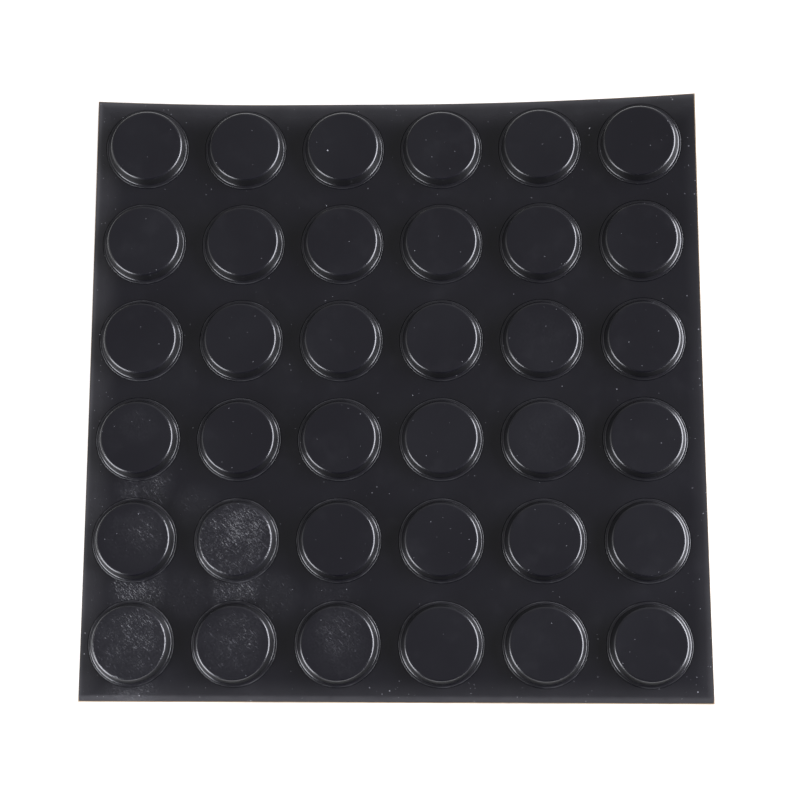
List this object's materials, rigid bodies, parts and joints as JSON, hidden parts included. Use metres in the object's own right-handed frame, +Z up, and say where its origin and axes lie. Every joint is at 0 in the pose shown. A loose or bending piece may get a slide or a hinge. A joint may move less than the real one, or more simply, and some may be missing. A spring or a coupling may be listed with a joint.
{
  "type": "sheet of rubber feet",
  "caption": "Thin square sheet of round, flat-topped self-adhesive rubber feet, each cut free of a thin rubber web and held together by a paper release liner.",
  "frame": {"origin": "on the surface that the sheet lies on, under the middle of the sheet", "axes": "+Z up through the feet, +X towards the right edge, +Y towards the back edge"},
  "size_m": [0.0936, 0.0926, 0.0056],
  "materials": {
    "rubber_feet": "smooth moulded black rubber, satin to gloss, with fine dust",
    "rubber_web": "smooth moulded black rubber, satin to gloss, with fine dust",
    "liner_paper": "coated kraft release paper, matt"
  },
  "bodies": {
    "root": {"foot_r1c1": "rubber_feet", "foot_r1c2": "rubber_feet", "foot_r1c3": "rubber_feet", "foot_r1c4": "rubber_feet", "foot_r1c5": "rubber_feet", "foot_r1c6": "rubber_feet", "foot_r2c1": "rubber_feet", "foot_r2c2": "rubber_feet", "foot_r2c3": "rubber_feet", "foot_r2c4": "rubber_feet", "foot_r2c5": "rubber_feet", "foot_r2c6": "rubber_feet", "foot_r3c1": "rubber_feet", "foot_r3c2": "rubber_feet", "foot_r3c3": "rubber_feet", "foot_r3c4": "rubber_feet", "foot_r3c5": "rubber_feet", "foot_r3c6": "rubber_feet", "foot_r4c1": "rubber_feet", "foot_r4c2": "rubber_feet", "foot_r4c3": "rubber_feet", "foot_r4c4": "rubber_feet", "foot_r4c5": "rubber_feet", "foot_r4c6": "rubber_feet", "foot_r5c1": "rubber_feet", "foot_r5c2": "rubber_feet", "foot_r5c3": "rubber_feet", "foot_r5c4": "rubber_feet", "foot_r5c5": "rubber_feet", "foot_r5c6": "rubber_feet", "foot_r6c1": "rubber_feet", "foot_r6c2": "rubber_feet", "foot_r6c3": "rubber_feet", "foot_r6c4": "rubber_feet", "foot_r6c5": "rubber_feet", "foot_r6c6": "rubber_feet", "web": "rubber_web", "release_liner": "liner_paper"}
  },
  "joints": []
}
